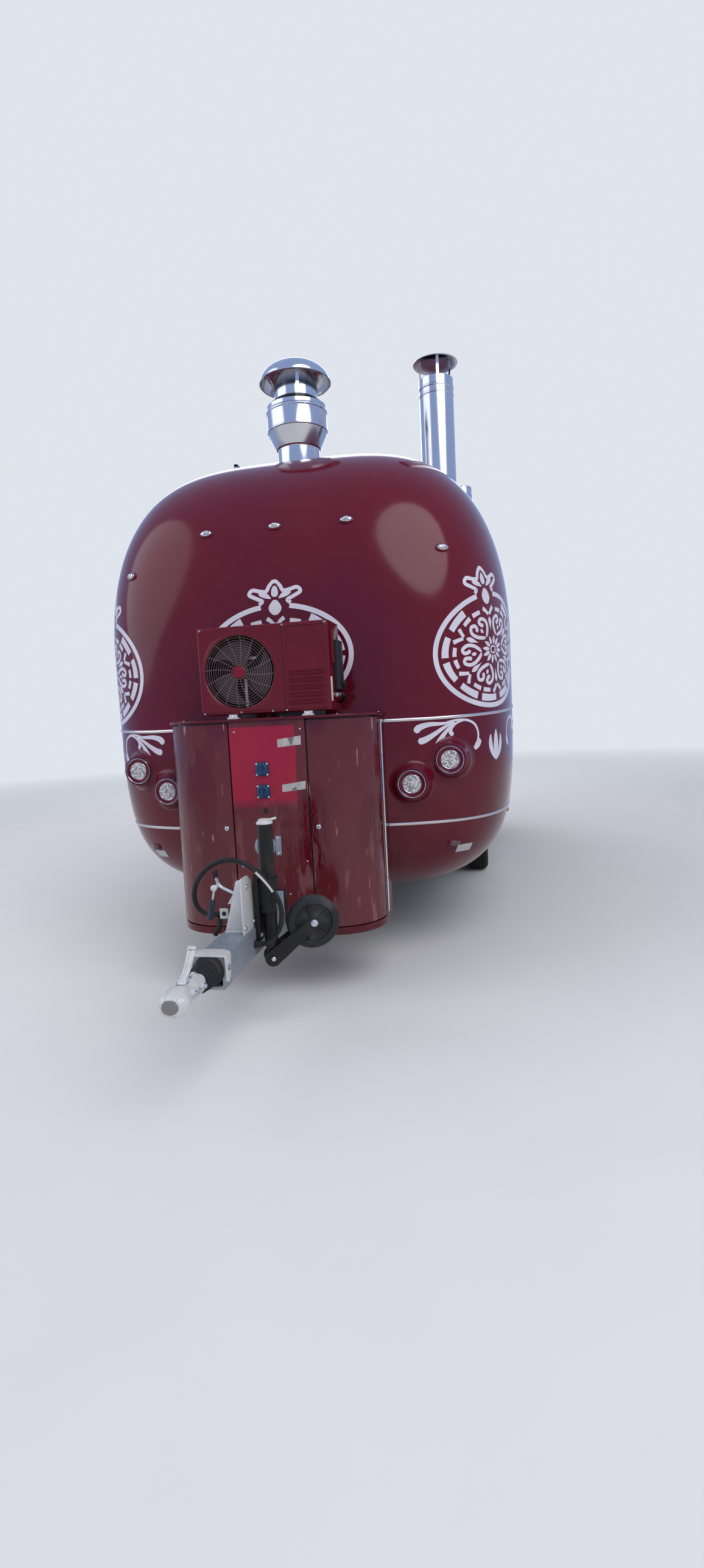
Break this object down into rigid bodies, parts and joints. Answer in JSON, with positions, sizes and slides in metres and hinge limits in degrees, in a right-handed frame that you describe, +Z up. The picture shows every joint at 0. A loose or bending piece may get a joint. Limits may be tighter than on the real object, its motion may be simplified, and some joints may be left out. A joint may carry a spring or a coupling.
{
  "type": "rounded catering kitchen trailer",
  "caption": "Rounded kitchen trailer with a lifting serving hatch, fold-up counter shelf, rear door, front locker with air conditioner, roof flues, tandem axle and jockey wheel.",
  "frame": {"origin": "on the floor, under the middle of the whole outline", "axes": "+Z up, the drawbar points to -Y, +X is the road side and -X the kerb side with the serving hatch"},
  "size_m": [2.404, 6.68, 3.376],
  "materials": {
    "black_rubber": "black rubber",
    "cable_black": "black cable sheath",
    "cast_grey": "zinc-coated casting",
    "clear_lens": "lamp with clear lens",
    "conditioner_case": "glossy wine-red casing",
    "fan_plastic": "dark plastic fan",
    "floor_board": "coated plywood floor",
    "galvanised": "hot-dip galvanised steel",
    "grip_metal": "zinc-coated grip",
    "jockey_tube": "weathered dark tube",
    "kitchen_steel": "stainless kitchen units",
    "liner_plastic": "black wheel arch liner",
    "locker_paint": "glossy wine-red moulded locker",
    "marker_lens": "small marker lamps",
    "maroon_shell": "glossy wine-red moulded shell",
    "pale_strip": "satin metal strip",
    "plug_black": "black plug",
    "red_lens": "rear lamps with red lens",
    "rim_steel": "silver painted steel rim",
    "sign_board": "dark sign board",
    "stainless": "stainless steel sheet",
    "tyre_rubber": "road tyre",
    "window_glass": "window glass"
  },
  "bodies": {
    "trailer": {"brake_bracket": "galvanised", "cable_plug": "plug_black", "chassis_frame": "galvanised", "conditioner_casing": "conditioner_case", "cooking_range": "kitchen_steel", "corrugated_hose": "cable_black", "coupling_cable": "cable_black", "coupling_handle": "grip_metal", "coupling_head": "cast_grey", "drawbar": "galvanised", "floor_panel": "floor_board", "front_axle": "galvanised", "front_lamps": "clear_lens", "handbrake": "galvanised", "jockey_clamp": "jockey_tube", "jockey_outer_tube": "jockey_tube", "kitchen_counter": "kitchen_steel", "locker_cabinet": "locker_paint", "locker_centre_panel": "locker_paint", "locker_top": "locker_paint", "lower_front_shell": "maroon_shell", "lower_rear_shell": "maroon_shell", "lower_side_walls": "maroon_shell", "main_roof_vent": "stainless", "marker_lamps": "marker_lens", "overrun_shaft": "black_rubber", "rear_axle": "galvanised", "rear_door_frame": "maroon_shell", "rear_lamps": "red_lens", "roof_flues": "stainless", "roof_sign": "sign_board", "trim_strips": "pale_strip", "upper_front_shell": "maroon_shell", "upper_middle_shell": "maroon_shell", "upper_rear_shell": "maroon_shell", "wheel_arches": "liner_plastic"},
    "front_kerb_wheel": {"front_kerb_tyre": "tyre_rubber", "front_kerb_rim": "rim_steel"},
    "front_road_wheel": {"front_road_tyre": "tyre_rubber", "front_road_rim": "rim_steel"},
    "rear_kerb_wheel": {"rear_kerb_tyre": "tyre_rubber", "rear_kerb_rim": "rim_steel"},
    "rear_road_wheel": {"rear_road_tyre": "tyre_rubber", "rear_road_rim": "rim_steel"},
    "conditioner_fan": {"conditioner_fan": "fan_plastic"},
    "serving_hatch": {"serving_hatch": "maroon_shell"},
    "strut_cylinders": {"hatch_strut_cylinders": "plug_black"},
    "strut_rods": {"hatch_strut_rods": "stainless"},
    "counter_shelf": {"counter_shelf": "kitchen_steel"},
    "entry_door": {"entry_door": "maroon_shell", "door_window": "window_glass"},
    "locker_kerb_door": {"locker_kerb_door": "locker_paint"},
    "locker_road_door": {"locker_road_door": "locker_paint"},
    "jockey_inner_tube": {"jockey_inner_tube": "jockey_tube"},
    "jockey_fork": {"jockey_fork": "jockey_tube"},
    "jockey_wheel": {"jockey_wheel": "black_rubber"},
    "rear_kerb_leg": {"rear_kerb_leg": "galvanised"},
    "rear_road_leg": {"rear_road_leg": "galvanised"}
  },
  "joints": [
    {"name": "front_kerb_wheel_spin", "type": "hinge", "parent": "trailer", "child": "front_kerb_wheel", "pos_m": [-0.908, 0.51, 0.295], "axis": [1, 0, 0], "continuous": true},
    {"name": "front_road_wheel_spin", "type": "hinge", "parent": "trailer", "child": "front_road_wheel", "pos_m": [0.908, 0.51, 0.295], "axis": [1, 0, 0], "continuous": true},
    {"name": "rear_kerb_wheel_spin", "type": "hinge", "parent": "trailer", "child": "rear_kerb_wheel", "pos_m": [-0.908, 1.23, 0.295], "axis": [1, 0, 0], "continuous": true},
    {"name": "rear_road_wheel_spin", "type": "hinge", "parent": "trailer", "child": "rear_road_wheel", "pos_m": [0.908, 1.23, 0.295], "axis": [1, 0, 0], "continuous": true},
    {"name": "conditioner_fan_spin", "type": "hinge", "parent": "trailer", "child": "conditioner_fan", "pos_m": [-0.092, -2.177, 1.543], "axis": [0, 1, 0], "continuous": true},
    {"name": "serving_hatch_lift", "type": "hinge", "parent": "trailer", "child": "serving_hatch", "pos_m": [-1.12151, 0.71, 2.177], "axis": [0, 1, 0], "range_deg": [0, 95]},
    {"name": "hatch_strut_swing", "type": "hinge", "parent": "trailer", "child": "strut_cylinders", "pos_m": [-1.02, 0.71, 1.55], "axis": [0, -1, 0], "range_deg": [0, 14.1]},
    {"name": "hatch_strut_extend", "type": "slide", "parent": "strut_cylinders", "child": "strut_rods", "axis": [-0.0723, 0, 0.9974], "range_m": [0, 0.027]},
    {"name": "counter_shelf_lift", "type": "hinge", "parent": "trailer", "child": "counter_shelf", "pos_m": [-1.192, 0.71, 1.382], "axis": [0, 1, 0], "range_deg": [0, 90]},
    {"name": "entry_door_swing", "type": "hinge", "parent": "trailer", "child": "entry_door", "pos_m": [0.347, 3.325, 1.425], "axis": [0, 0, -1], "range_deg": [0, 110]},
    {"name": "locker_kerb_door_swing", "type": "hinge", "parent": "trailer", "child": "locker_kerb_door", "pos_m": [-0.519, -2.002, 0.83], "axis": [0, 0, -1], "range_deg": [0, 100]},
    {"name": "locker_road_door_swing", "type": "hinge", "parent": "trailer", "child": "locker_road_door", "pos_m": [0.519, -2.002, 0.83], "axis": [0, 0, 1], "range_deg": [0, 100]},
    {"name": "jockey_slide", "type": "slide", "parent": "trailer", "child": "jockey_inner_tube", "axis": [0, 0, -1], "range_m": [0, 0.18]},
    {"name": "jockey_fold", "type": "hinge", "parent": "jockey_inner_tube", "child": "jockey_fork", "pos_m": [0.112, -2.605, 0.34], "axis": [-0.4067, 0.9135, 0], "range_deg": [0, 126]},
    {"name": "jockey_wheel_spin", "type": "hinge", "parent": "jockey_fork", "child": "jockey_wheel", "pos_m": [0.2746, -2.53261, 0.46931], "axis": [-0.4067, 0.9135, 0], "continuous": true},
    {"name": "rear_kerb_leg_fold", "type": "hinge", "parent": "trailer", "child": "rear_kerb_leg", "pos_m": [-0.56, 2.56, 0.318], "axis": [-1, 0, 0], "range_deg": [0, 90]},
    {"name": "rear_road_leg_fold", "type": "hinge", "parent": "trailer", "child": "rear_road_leg", "pos_m": [0.56, 2.56, 0.318], "axis": [-1, 0, 0], "range_deg": [0, 90]}
  ],
  "couplings": [
    {"joint": "hatch_strut_swing", "follows": "serving_hatch_lift", "ratio": 0.1436},
    {"joint": "hatch_strut_extend", "follows": "serving_hatch_lift", "m_per_rad": 0.01495}
  ]
}
